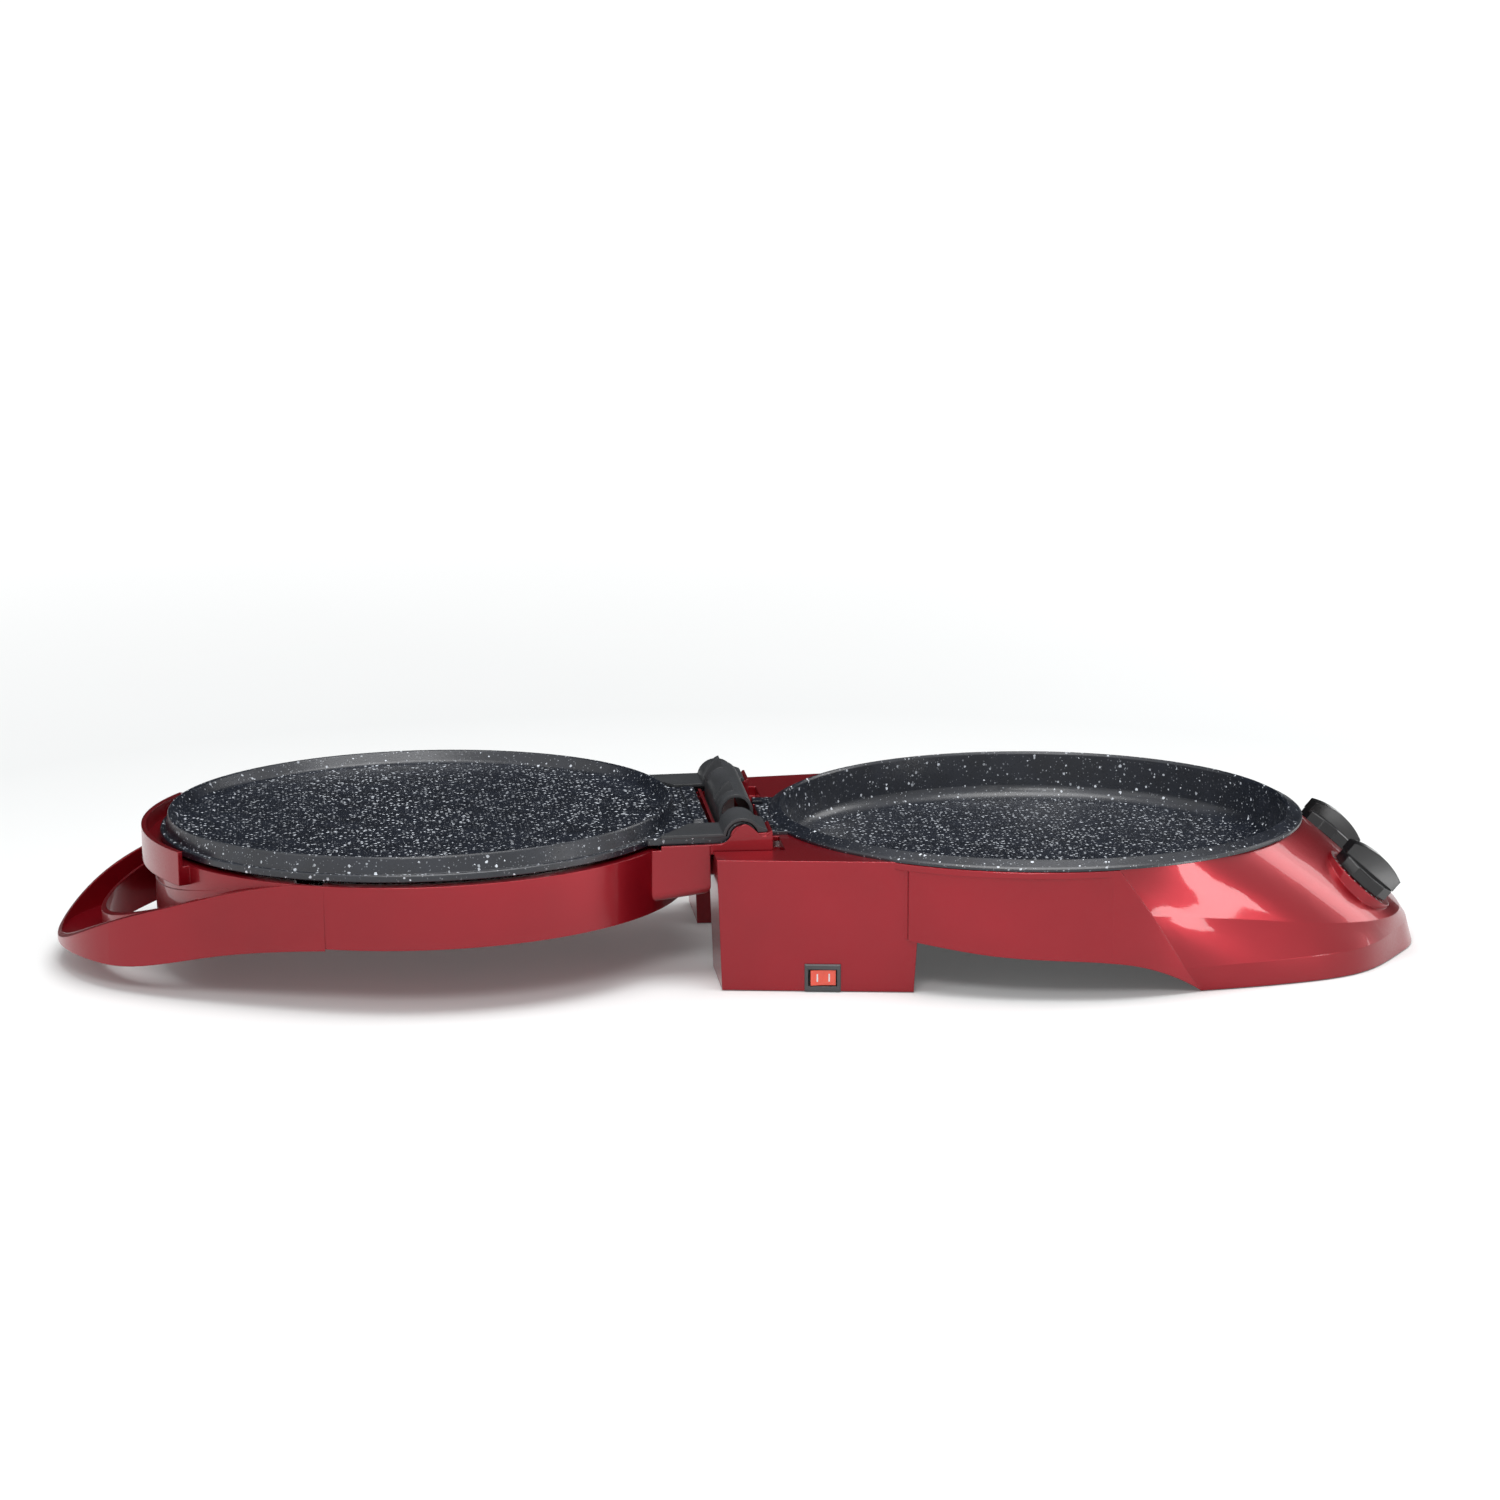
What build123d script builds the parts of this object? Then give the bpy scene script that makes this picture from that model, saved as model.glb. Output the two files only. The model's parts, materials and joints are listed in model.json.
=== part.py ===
from build123d import *
import math
import os

os.makedirs("parts", exist_ok=True)

# Driving dimensions, in millimetres.
# Every x below is measured from the hinge axis, and the frame's origin is under the middle of the object.
base_reach = 431.5
lid_reach = 419.1
lid_sweep = 418.0
hinge_height = 89.0
lid_tilt = 1.02
pan_x = 192.35
wall = 2.8
ground_gap = 0.6

# Base shell
base_wall_r = 168.0
rear_wall_step = 3.0
rear_wall_r = base_wall_r - rear_wall_step
rim_r = base_wall_r
rim_height = 4.5
side_r = 222.0
side_angle = 103.5
side_end_x = 96.0
base_top = 81.1
cover_floor = 33.5
cover_thickness = 2.5

# Control front: plans of its foot, its skirt's top and its crease, each from the side to the nose
skirt_top = 16.0
foot_start_x = 274.0
foot_lean = 0.17
foot_plan = [(332, 134), (381, 110.5), (413.5, 65.5)]
skirt_start_x = 263.0
skirt_lean = 0.2
skirt_plan = [(330, 134.5), (380, 111), (411, 65.5)]
skirt_front_x = 427.5
crease_start_x = 241.0
crease_start_z = 51.0
crease_slope = 8.5
crease_lean = 0.42
crease_plan = [(300, 137), (361, 115), (404, 76)]
crease_front_x = 422.0
top_start_x = 220.0
front_inset = 3.2

# Hinge pods
pod_inner_y = 56.7
pod_outer_y = 116.7
pod_left_top_x = -18.0
pod_left_foot_x = -15.0
pod_right_top_x = 105.0
pod_right_foot_x = 100.0
pod_right_y = 112.0
pod_flare = 8.07
slot_outer_y = 93.0
slot_end_x = 26.0
slot_floor = 75.0
slot_r = 20.5

# Coated pan of the base
pan_crest_r = 160.0
pan_crest = 87.0
pan_depth = 30.0
pan_metal = 3.0
pan_flange = 2.5
pan_floor_r = 147.5
pan_bend_r = 9.0
pan_wall_lean = 6.0
tab_edge_x = 19.0
tab_half_width = 50.0
tab_thickness = 2.2

# Heating elements and reflectors
element_ring_r = 108.0
element_tube_r = 3.3
element_seat_width = 14.0
element_seat_depth = 3.5
reflector_sheet = 0.8
reflector_r = 138.0
reflector_drop = 13.0
reflector_lip = 6.0

# Hinge
pin_r = 3.0
running_clearance = 0.05
bush_r = 5.0
pin_inner_y = 52.0
pin_outer_y = 87.0
bracket_thickness = 3.4
bracket_knuckle_r = 8.5
bracket_foot = 42.0

# Lid shell, with heights measured from the hinge axis in the lid's own tilted frame
lid_wall_r = 165.0
lid_top = -3.5
lid_wall_foot = -44.5
lid_wall_draft = 1.0
lid_crown = 12.0
lid_edge_r = 12.0
plate_opening_r = 154.5
arm_outer_y = 92.0
arm_end_x = -20.0
arm_root_x = -75.0
arm_foot_end = -34.3
arm_foot_root = -41.0
rear_wall_x = -13.0
rear_wall_half_width = 50.0
rear_wall_top = 1.0
rear_wall_foot = -32.0
ear_outer_y = 91.6
ear_inner_y = 62.0
ear_r = 7.3
ear_end_x = 18.4
ear_cheek = 1.3
ear_outline = [
    (-16, -3.5), (-10.2, -2.0), (-5.8, 2.8), (1.4, 8.3),
    (7.6, 4.6), (13.3, 0.4), (17.2, 2.6), (18.4, 1.2),
]

# Handle of the lid
handle_join_x = -256.0
handle_tip_r = 112.0
handle_corner_angle = 45.5
handle_bend_pull = 22.0
handle_join_pull = 80.0
handle_top = [(-245, -3.5), (-298, -10.7), (-350, -26.3), (-391, -43.0), (-422, -66.0)]
handle_underside = [(-424, -66.6), (-402, -66.0), (-384, -66.3), (-357, -62.1), (-321, -53.4), (-285, -48.0),
                    (-235, -44.5)]
loop_centre_x = -306.0
loop_radii = (82.5, 92.0)
loop_drop = 5.5
handle_half_span = 160.0
lip_outer_r = 172.6
lip_thickness = 3.0
lip_half_angle = 30.0
lip_top = 3.5
lip_foot = -17.5

# Coated plate of the lid
plate_crest_r = 156.4
plate_crest = 10.7
plate_floor = 3.4
plate_metal = 3.0
plate_floor_r = 147.0
flange_r = 161.0
flange_top = 0.7
extension_x = -17.0
extension_half_width = 88.0
rib_x = (-27.0, -18.5)
rib_top = 3.2
strap_gap = 0.2
strap_thickness = 1.7

# Hinge covers and barrel hood
cover_outer_y = 90.0
cover_inner_y = 57.3
cover_tube_r = 12.0
cover_wall = 2.0
cover_outer_x = -50.0
cover_inner_x = -30.0
tongue_x = 15.6
hood_half_length = 50.5
hood_half_width = 10.6
hood_arch_height = 7.7
hood_foot = -7.0
hood_wall = 2.0
fin_y = 35.0
fin_thickness = 8.0
fin_tip = (-2.6, 24.4)
fin_clearance = 0.7

# Knobs and what they turn
knob_y = 60.0
knob_seat_x = 388.7
knob_seat_z = 48.1
knob_lean = 41.0
knob_fan = 7.2
knob_r = 20.8
knob_facets = 12
knob_ring_height = 7.5
knob_height = 18.5
grip_end_height = 14.0
grip_width = 15.0
pad_r = 24.5
pad_height = 16.0
pad_wall = 2.4
knob_gap = 0.5
shaft_r = 3.0
control_body_r = 11.0
control_body_drop = 10.5
control_body_depth = 14.0

# Rocker switch
switch_x = 45.4
bezel_size = (22.0, 16.8)
bezel_thickness = 1.5
switch_body_size = (19.4, 13.2)
switch_body_depth = 19.0
rocker_size = (15.4, 9.4, 6.0)
rocker_gap = 0.55
rocker_tilt = 7.0

# Feet, screws and small inner pieces
foot_r = 7.0
foot_height = 4.0
screw_head_r = 3.2
screw_head_height = 1.4
screw_r = 1.6
screw_length = 12.0
boss_r = 4.4
gland_r = 6.0
gland_flange_r = 8.5
gland_bore_r = 3.5
gland_length = 12.0

cover_gap = 0.4
vent_ring_r = 118.0
vent_count = 24
vent_length = 14.0
vent_width = 3.5
foot_places = [(22, 92), (385, 72)]
element_gap = 30.0
element_tail = 38.0
element_pin_r = 1.6
element_pin = 10.0
shaft_grip = 9.0
shaft_depth = 8.0
rocker_r = 8.2
rocker_pivot_depth = 3.4
rocker_end_rise = 3.1
rocker_mid_rise = 2.2
rocker_stub_r = 1.0
gland_y = 104.0
gland_height = 24.0
gland_collar = 2.5
terminal_place = (36, 92)
terminal_size = (16.0, 30.0, 14.0)
handle_wall = 3.0
arm_edge_r = 6.0
rear_rib = 2.0
lip_floor = -6.0
ear_saddle = 2.4
ear_lip = 2.0
ear_lip_top = 3.4
ear_foot = -9.5
ear_bevel = 1.5
bush_outer_y = 88.0
plate_ring_r = 157.9
plate_bend_r = 4.0
extension_root = 60.0
extension_gap = 0.4
strap_end_x = 9.0
tongue_gap = 0.4
tongue_thickness = 2.2
fuse_size = (14.0, 4.0)

# Frames
hinge_x = (lid_sweep - base_reach) / 2
lid_lean = math.radians(lid_tilt)
lid_frame = Plane(
    origin=(hinge_x, 0, hinge_height),
    x_dir=(math.cos(lid_lean), 0, math.sin(lid_lean)),
    z_dir=(-math.sin(lid_lean), 0, math.cos(lid_lean)),
)


def base_level(height):
    """Level plane whose x starts at the hinge axis."""
    return Plane((hinge_x, 0, height))


def base_side(y):
    """Upright plane across the hinge axis, with x along the object and y upwards."""
    return Plane(origin=(hinge_x, y, 0), x_dir=(1, 0, 0), z_dir=(0, -1, 0))


def lid_level(height):
    """Plane parallel to the lid's plate, at a height from the hinge axis."""
    return lid_frame.offset(height)


def lid_side(y):
    """Upright plane of the lid's frame, with x along the lid and y upwards."""
    return Plane(origin=lid_frame.from_local_coords((0, y, 0)), x_dir=lid_frame.x_dir, z_dir=(0, -1, 0))


pan_section = Plane(origin=(hinge_x + pan_x, 0, 0), x_dir=(1, 0, 0), z_dir=(0, -1, 0))
pan_axis = Axis((hinge_x + pan_x, 0, 0), (0, 0, 1))
lid_centre = lid_frame.from_local_coords((-pan_x, 0, 0))
lid_section = Plane(origin=lid_centre, x_dir=lid_frame.x_dir, z_dir=(0, -1, 0))
lid_axis = Axis(lid_centre, lid_frame.z_dir)
pan_inner_r = rear_wall_r - wall


def circle_y(radius, x):
    """Half width of a circle about the pan's axis, at a distance from the hinge axis."""
    return math.sqrt(radius**2 - (x - pan_x) ** 2)


def both_sides(places):
    """Each place, and its mirror image when it is off the middle."""
    return [(x, side * y) for x, y in places for side in ((-1, 1) if y else (1,))]


knob_axis = Vector(math.sin(math.radians(knob_lean)), 0, math.cos(math.radians(knob_lean)))


def knob_plane(side, height=0.0):
    """Plane across a knob's axis; side is -1 for the near knob and 1 for the far one."""
    fan = math.radians(knob_fan)
    axis = knob_axis * math.cos(fan) + Vector(0, side * math.sin(fan), 0)
    seat = Vector(hinge_x + knob_seat_x, side * knob_y, knob_seat_z) + axis * height
    return Plane(origin=seat, x_dir=(knob_axis.Z, 0, -knob_axis.X), z_dir=axis)


# Face of the near pod, where the rocker switch sits
face_along = Vector(math.cos(math.radians(pod_flare)), -math.sin(math.radians(pod_flare)), 0)
face_normal = Vector(face_along.Y, -face_along.X, 0)
bezel_centre_z = ground_gap + bezel_size[1] / 2


def pod_face_y(x):
    """Half width of the pods' outer faces at a distance from the hinge axis."""
    return pod_outer_y + (x - pod_left_top_x) * math.tan(math.radians(pod_flare))


def switch_plane(depth):
    """Plane on the near pod's face, at a height above it."""
    return Plane(
        origin=Vector(hinge_x + switch_x, -pod_face_y(switch_x), bezel_centre_z) + face_normal * depth,
        x_dir=face_along,
        z_dir=face_normal,
    )


pod_side_slope = Vector(pod_left_top_x - pod_left_foot_x, 0, base_top - ground_gap).normalized()
gland_share = (gland_height - ground_gap) / (base_top - ground_gap)
gland_x = pod_left_foot_x + gland_share * (pod_left_top_x - pod_left_foot_x)
gland_plane = Plane(
    origin=(hinge_x + gland_x, gland_y, gland_height),
    x_dir=(0, 1, 0),
    z_dir=(-pod_side_slope.Z, 0, pod_side_slope.X),
)


def front_plan(start_x, lean, points, front_x, inset, shift=0.0, stretch=1.0):
    """Plan of the control front at one level: two mirrored curves and the straight rear line."""
    curve = [(start_x, circle_y(base_wall_r, start_x) - inset)]
    for x, y in points:
        away = math.hypot(x - pan_x, y)
        curve.append((x - inset * (x - pan_x) / away, y - inset * y / away))
    curve.append((front_x - inset, 0))
    far = [((x - shift) * stretch, y) for x, y in curve]
    near = [(x, -y) for x, y in far]
    with BuildSketch() as plan:
        with BuildLine():
            Spline(*near, tangents=[(1, lean), (0, 1)])
            Spline(*far, tangents=[(1, -lean), (0, -1)])
            Line(near[0], far[0])
        make_face()
    return plan.sketch


def front_solid(inset, foot):
    """Control front as a solid, drawn in by an inset on every side and on top."""
    tilt = math.radians(crease_slope)
    crease_plane = Plane(
        origin=(hinge_x + crease_start_x, 0, crease_start_z - inset),
        x_dir=(math.cos(tilt), 0, -math.sin(tilt)),
        z_dir=(math.sin(tilt), 0, math.cos(tilt)),
    )
    stretch = 1 / math.cos(tilt)
    crease = front_plan(
        crease_start_x, crease_lean, crease_plan, crease_front_x, inset, crease_start_x, stretch
    )
    top_r = rear_wall_r - inset
    top_y = circle_y(top_r, top_start_x)
    bend = math.radians(40)
    bend_point = (pan_x + top_r * math.cos(bend), top_r * math.sin(bend))
    with BuildPart() as front:
        with BuildSketch(base_level(foot)):
            add(front_plan(foot_start_x, foot_lean, foot_plan, base_reach, inset))
        with BuildSketch(base_level(skirt_top - inset / 3)):
            add(front_plan(skirt_start_x, skirt_lean, skirt_plan, skirt_front_x, inset))
        with BuildSketch(crease_plane):
            add(crease)
        loft(ruled=True)
        with BuildSketch(crease_plane):
            add(crease)
        with BuildSketch(base_level(base_top - inset)):
            with BuildLine():
                ThreePointArc((top_start_x, -top_y), (bend_point[0], -bend_point[1]), (pan_x + top_r, 0))
                ThreePointArc((top_start_x, top_y), bend_point, (pan_x + top_r, 0))
                Line((top_start_x, -top_y), (top_start_x, top_y))
            make_face()
        loft(ruled=True)
    return front.part


def pod_plan(left_x, right_x, inset):
    """Plan of the near pod at one level."""
    corners = [
        (left_x, -pod_inner_y),
        (left_x, -pod_face_y(left_x)),
        (right_x, -pod_face_y(right_x)),
        (right_x, -pod_right_y),
        (pan_x - math.sqrt(rear_wall_r**2 - pod_inner_y**2) + wall, -pod_inner_y),
    ]
    with BuildSketch() as plan:
        with BuildLine():
            Polyline(*corners, close=True)
        make_face()
        if inset:
            offset(amount=-inset, kind=Kind.INTERSECTION, mode=Mode.REPLACE)
    return plan.sketch


def pod_solid(inset, foot, head):
    """Near pod as a solid between two levels."""
    with BuildPart() as pod:
        with BuildSketch(base_level(foot)):
            add(pod_plan(pod_left_foot_x, pod_right_foot_x, inset))
        with BuildSketch(base_level(head)):
            add(pod_plan(pod_left_top_x, pod_right_top_x, inset))
        loft(ruled=True)
    return pod.part


def ear_slot(margin):
    """Space in the near pod that the lid's ear and its cover swing through."""
    with BuildPart() as slot:
        with BuildSketch(base_side(-pod_inner_y + wall)):
            with Locations((0, hinge_height)):
                Circle(slot_r + margin)
            with BuildLine():
                Polyline(
                    (pod_left_top_x - 3 * wall, slot_floor - margin),
                    (slot_end_x + margin, slot_floor - margin),
                    (slot_end_x + margin, base_top + slot_r),
                    (pod_left_top_x - 3 * wall, base_top + slot_r),
                    close=True,
                )
            make_face()
        extrude(amount=slot_outer_y + margin - pod_inner_y + wall)
    return slot.part


pod_bosses = [(4, 103), (66, 112)]
front_bosses = [(362, 103), (404, 0)]
plate_level = foot_height + cover_thickness
cover_top = cover_floor + cover_thickness
with BuildPart() as pod_space:
    add(pod_solid(wall, -1.0, base_top - wall))
    add(ear_slot(wall), mode=Mode.SUBTRACT)
    with BuildSketch(base_level(cover_floor)):
        with Locations((pan_x, 0)):
            Circle(base_wall_r)
    extrude(amount=base_top, mode=Mode.SUBTRACT)
    with BuildSketch(base_level(plate_level)):
        with Locations(*[(x, -y) for x, y in pod_bosses]):
            Circle(boss_r)
    extrude(amount=base_top, mode=Mode.SUBTRACT)
near_slot = ear_slot(0)

with BuildPart() as front_space:
    add(front_solid(front_inset, -1.0))
    with BuildSketch(base_level(-1.0)):
        with Locations((pan_x, 0)):
            Circle(base_wall_r)
    extrude(amount=2 * base_top, mode=Mode.SUBTRACT)
    with BuildSketch(base_level(plate_level)):
        with Locations(*both_sides(front_bosses)):
            Circle(boss_r)
    extrude(amount=base_top, mode=Mode.SUBTRACT)
    for side in (-1, 1):
        with BuildSketch(knob_plane(side, -pad_wall)):
            Circle(pad_r + wall)
        extrude(amount=2 * pad_r, mode=Mode.SUBTRACT)
        with BuildSketch(knob_plane(side, -control_body_drop)):
            Circle(control_body_r + wall)
        extrude(amount=2 * pad_r, mode=Mode.SUBTRACT)

# Red shell of the base
ring_angles = [math.radians(angle) for angle in (60, 120, 240, 300)]
ring_boss_r = pan_inner_r - boss_r + 0.6
ring_bosses = [(pan_x + ring_boss_r * math.cos(a), ring_boss_r * math.sin(a)) for a in ring_angles]
with BuildPart() as base_housing:
    with BuildSketch(pan_section):
        with BuildLine():
            Polyline(
                (pan_inner_r, ground_gap),
                (base_wall_r, ground_gap),
                (base_wall_r, base_top - 0.8),
                (base_wall_r - 0.8, base_top),
                (pan_inner_r, base_top),
                close=True,
            )
        make_face()
    revolve(axis=pan_axis)
    # The wall is set back under its rim, by a flatter curve on each side and evenly at the hinge
    side_shift = side_r - rear_wall_r
    side_turn = math.radians(side_angle)
    with BuildSketch(base_level(0)):
        with Locations((pan_x, 0)):
            Circle(2 * base_wall_r)
            Circle(base_wall_r, mode=Mode.SUBTRACT)
        for side in (-1, 1):
            with BuildSketch(mode=Mode.PRIVATE) as flatter:
                with Locations((pan_x, 0)):
                    Circle(base_wall_r + 1)
                side_x = pan_x - side_shift * math.cos(side_turn)
                with Locations((side_x, -side * side_shift * math.sin(side_turn))):
                    Circle(side_r, mode=Mode.SUBTRACT)
            add(flatter.sketch)
        with BuildSketch(mode=Mode.PRIVATE) as rear:
            with Locations((pan_x, 0)):
                Circle(base_wall_r + 1)
                Circle(rear_wall_r, mode=Mode.SUBTRACT)
            with Locations((side_end_x, 0)):
                Rectangle(2 * rim_r, 4 * rim_r, align=(Align.MAX, Align.CENTER), mode=Mode.INTERSECT)
        add(rear.sketch)
    extrude(amount=base_top - rim_height, mode=Mode.SUBTRACT)
    with BuildSketch(base_side(0)):
        with BuildLine():
            Spline((0, 33), (100, 33), (147, 27.5), (198, 25), (232, 20.5), (256, 11.5),
                   (foot_start_x, ground_gap))
            Polyline((foot_start_x, ground_gap), (foot_start_x, -1), (0, -1), (0, 33))
        make_face()
    extrude(amount=rim_r + 10, both=True, mode=Mode.SUBTRACT)
    with BuildSketch(base_side(0)):
        with BuildLine():
            Polyline(
                (top_start_x, base_top + 1),
                (top_start_x, base_top),
                (crease_start_x, crease_start_z),
                (skirt_start_x, skirt_top),
                (foot_start_x, ground_gap),
                (foot_start_x, -1),
                (base_reach, -1),
                (base_reach, base_top + 1),
                close=True,
            )
        make_face()
    extrude(amount=rim_r + 10, both=True, mode=Mode.SUBTRACT)
    add(front_solid(0, ground_gap))
    for side in (-1, 1):
        with BuildSketch(knob_plane(side, -pad_height)):
            Circle(pad_r)
        extrude(amount=pad_height)
    add(pod_solid(0, ground_gap, base_top))
    add(pod_solid(0, ground_gap, base_top).mirror(Plane.XZ))
    # Shelf between the pods, which carries the pan's tab
    with BuildSketch(base_level(base_top - wall)):
        with BuildLine():
            Polyline(
                (tab_edge_x, -pod_inner_y - wall),
                (pan_x - pan_inner_r + 20, -pod_inner_y - wall),
                (pan_x - pan_inner_r + 20, pod_inner_y + wall),
                (tab_edge_x, pod_inner_y + wall),
                close=True,
            )
        make_face()
    extrude(amount=wall)
    # Room for the pan, down to the cover, and the open underside behind the control front
    with BuildSketch(base_level(cover_floor)):
        with Locations((pan_x, 0)):
            Circle(pan_inner_r)
    extrude(amount=base_top, mode=Mode.SUBTRACT)
    with BuildSketch(base_level(-1.0)):
        with Locations((pan_x, 0)):
            Circle(pan_inner_r)
        with Locations((pod_right_top_x + 1, 0)):
            Rectangle(2 * rim_r, 2 * rim_r, align=(Align.MIN, Align.CENTER), mode=Mode.INTERSECT)
    extrude(amount=cover_floor + 2, mode=Mode.SUBTRACT)
    add(front_space.part, mode=Mode.SUBTRACT)
    add(pod_space.part, mode=Mode.SUBTRACT)
    add(pod_space.part.mirror(Plane.XZ), mode=Mode.SUBTRACT)
    add(near_slot, mode=Mode.SUBTRACT)
    add(near_slot.mirror(Plane.XZ), mode=Mode.SUBTRACT)
    # Bosses inside the wall, and screw holes in every boss
    with BuildSketch(base_level(cover_top)):
        with Locations(*ring_bosses):
            Circle(boss_r)
    extrude(amount=screw_length)
    with BuildSketch(base_level(cover_top)):
        with Locations(*ring_bosses):
            Circle(screw_r + running_clearance)
    extrude(amount=screw_length - 1, mode=Mode.SUBTRACT)
    with BuildSketch(base_level(plate_level)):
        with Locations(*both_sides(pod_bosses + front_bosses)):
            Circle(screw_r + running_clearance)
    extrude(amount=screw_length, mode=Mode.SUBTRACT)
    # Level ground and a shaft hole for each knob
    for side in (-1, 1):
        with BuildSketch(knob_plane(side)):
            Circle(pad_r + 0.4)
        extrude(amount=pad_r, mode=Mode.SUBTRACT)
        with BuildSketch(knob_plane(side)):
            Circle(shaft_r + 1)
        extrude(amount=-control_body_drop - 2, mode=Mode.SUBTRACT)
    # Hole for the cord's bush
    with BuildSketch(gland_plane.offset(2)):
        Circle(gland_r)
    extrude(amount=-4 * wall, mode=Mode.SUBTRACT)
    # Switch opening, open at the pod's lower edge
    with BuildSketch(switch_plane(wall)):
        with Locations((0, -bezel_size[1] / 2)):
            Rectangle(switch_body_size[0] + 0.4, bezel_size[1] + switch_body_size[1] + 0.4)
    extrude(amount=-4 * wall, mode=Mode.SUBTRACT)
    # Room for the hood's fins as they swing
    for side in (-1, 1):
        with BuildSketch(base_side(side * fin_y)):
            with Locations((0, hinge_height)):
                Circle(math.hypot(*fin_tip) + fin_clearance)
        extrude(amount=fin_thickness / 2 + 1, both=True, mode=Mode.SUBTRACT)
base_housing.part.label = "base_housing"
export_step(base_housing.part, "parts/base_housing.step")

# Plates that close the base from below
with BuildPart() as base_bottom_cover:
    with BuildSketch(base_level(cover_floor)):
        with Locations((pan_x, 0)):
            Circle(pan_inner_r - cover_gap)
        with Locations((pan_x, 0)):
            with PolarLocations(vent_ring_r, vent_count):
                SlotCenterToCenter(vent_length, vent_width, mode=Mode.SUBTRACT)
        with Locations(*ring_bosses):
            Circle(screw_r + running_clearance, mode=Mode.SUBTRACT)
    extrude(amount=cover_thickness)
base_bottom_cover.part.label = "base_bottom_cover"
export_step(base_bottom_cover.part, "parts/base_bottom_cover.step")

with BuildPart() as front_bottom_cover:
    add(front_solid(front_inset + cover_gap, -1.0))
    with BuildSketch(base_level(foot_height)):
        with Locations((pan_x, 0)):
            Rectangle(3 * rim_r, 3 * rim_r)
    extrude(amount=-2 * foot_height, mode=Mode.SUBTRACT)
    with BuildSketch(base_level(plate_level)):
        with Locations((pan_x, 0)):
            Rectangle(3 * rim_r, 3 * rim_r)
    extrude(amount=base_top, mode=Mode.SUBTRACT)
    with BuildSketch(base_level(0)):
        with Locations((pan_x, 0)):
            Circle(base_wall_r + cover_gap)
    extrude(amount=base_top, mode=Mode.SUBTRACT)
    with BuildSketch(base_level(foot_height)):
        with Locations(*both_sides(front_bosses)):
            Circle(screw_r + running_clearance)
    extrude(amount=cover_thickness, mode=Mode.SUBTRACT)
front_bottom_cover.part.label = "front_bottom_cover"
export_step(front_bottom_cover.part, "parts/front_bottom_cover.step")


def pod_cover():
    """Plate under the near pod."""
    with BuildPart() as cover:
        with BuildSketch(base_level(foot_height)):
            add(pod_plan(pod_left_foot_x + 0.3, pod_right_foot_x, wall + cover_gap))
            with Locations(*[(x, -y) for x, y in pod_bosses]):
                Circle(screw_r + running_clearance, mode=Mode.SUBTRACT)
        extrude(amount=cover_thickness)
    return cover.part


with BuildPart() as near_pod_cover:
    add(pod_cover())
    with BuildSketch(switch_plane(wall)):
        with Locations((0, -bezel_size[1] / 2)):
            Rectangle(bezel_size[0], bezel_size[1] + switch_body_size[1] + 1.0)
    extrude(amount=-wall - switch_body_depth - 1, mode=Mode.SUBTRACT)
near_pod_cover.part.label = "near_pod_cover"
export_step(near_pod_cover.part, "parts/near_pod_cover.step")

with BuildPart() as far_pod_cover:
    add(pod_cover().mirror(Plane.XZ))
far_pod_cover.part.label = "far_pod_cover"
export_step(far_pod_cover.part, "parts/far_pod_cover.step")

with BuildPart() as rubber_feet:
    with BuildSketch(base_level(0)):
        with Locations(*both_sides(foot_places)):
            Circle(foot_r)
    extrude(amount=foot_height)
    chamfer(rubber_feet.edges().group_by(Axis.Z)[0], length=0.8)
rubber_feet.part.label = "rubber_feet"
export_step(rubber_feet.part, "parts/rubber_feet.step")

with BuildPart() as bottom_screws:
    for level, places in ((foot_height, both_sides(pod_bosses + front_bosses)), (cover_floor, ring_bosses)):
        with BuildSketch(base_level(level - screw_head_height)):
            with Locations(*places):
                Circle(screw_head_r)
        extrude(amount=screw_head_height)
        with BuildSketch(base_level(level)):
            with Locations(*places):
                Circle(screw_r)
        extrude(amount=screw_length)
bottom_screws.part.label = "bottom_screws"
export_step(bottom_screws.part, "parts/bottom_screws.step")


# Heating element, shared by the pan and the lid's plate
def heating_element(plane):
    """Open ring of tube with two straight tails towards the hinge, on a plane at the ring's centre."""
    half_gap = math.radians(element_gap / 2)
    end_x = -element_ring_r * math.cos(half_gap)
    end_y = element_ring_r * math.sin(half_gap)
    ends = [(end_x, -end_y), (end_x, end_y)]
    with BuildPart() as element:
        with BuildLine(plane):
            ring = CenterArc((0, 0), element_ring_r, element_gap / 2 - 180, 360 - element_gap)
        with BuildSketch(Plane(origin=ring @ 0, z_dir=ring % 0)):
            Circle(element_tube_r)
        sweep()
        for x, y in ends:
            tail = Plane(origin=plane.from_local_coords((x, y, 0)), x_dir=plane.y_dir, z_dir=-plane.x_dir)
            with BuildSketch(tail):
                Circle(element_tube_r)
            extrude(amount=element_tail)
            with BuildSketch(tail.offset(element_tail)):
                Circle(element_pin_r)
            extrude(amount=element_pin)
            with Locations(tail.origin):
                Sphere(element_tube_r)
    return element.part


pan_floor = pan_crest - pan_depth
seat_level = pan_floor - pan_metal - element_seat_depth
pan_centre = (hinge_x + pan_x, 0, 0)
with BuildPart() as lower_heating_element:
    add(heating_element(Plane(pan_centre).offset(seat_level)))
lower_heating_element.part.label = "lower_heating_element"
export_step(lower_heating_element.part, "parts/lower_heating_element.step")

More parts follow.
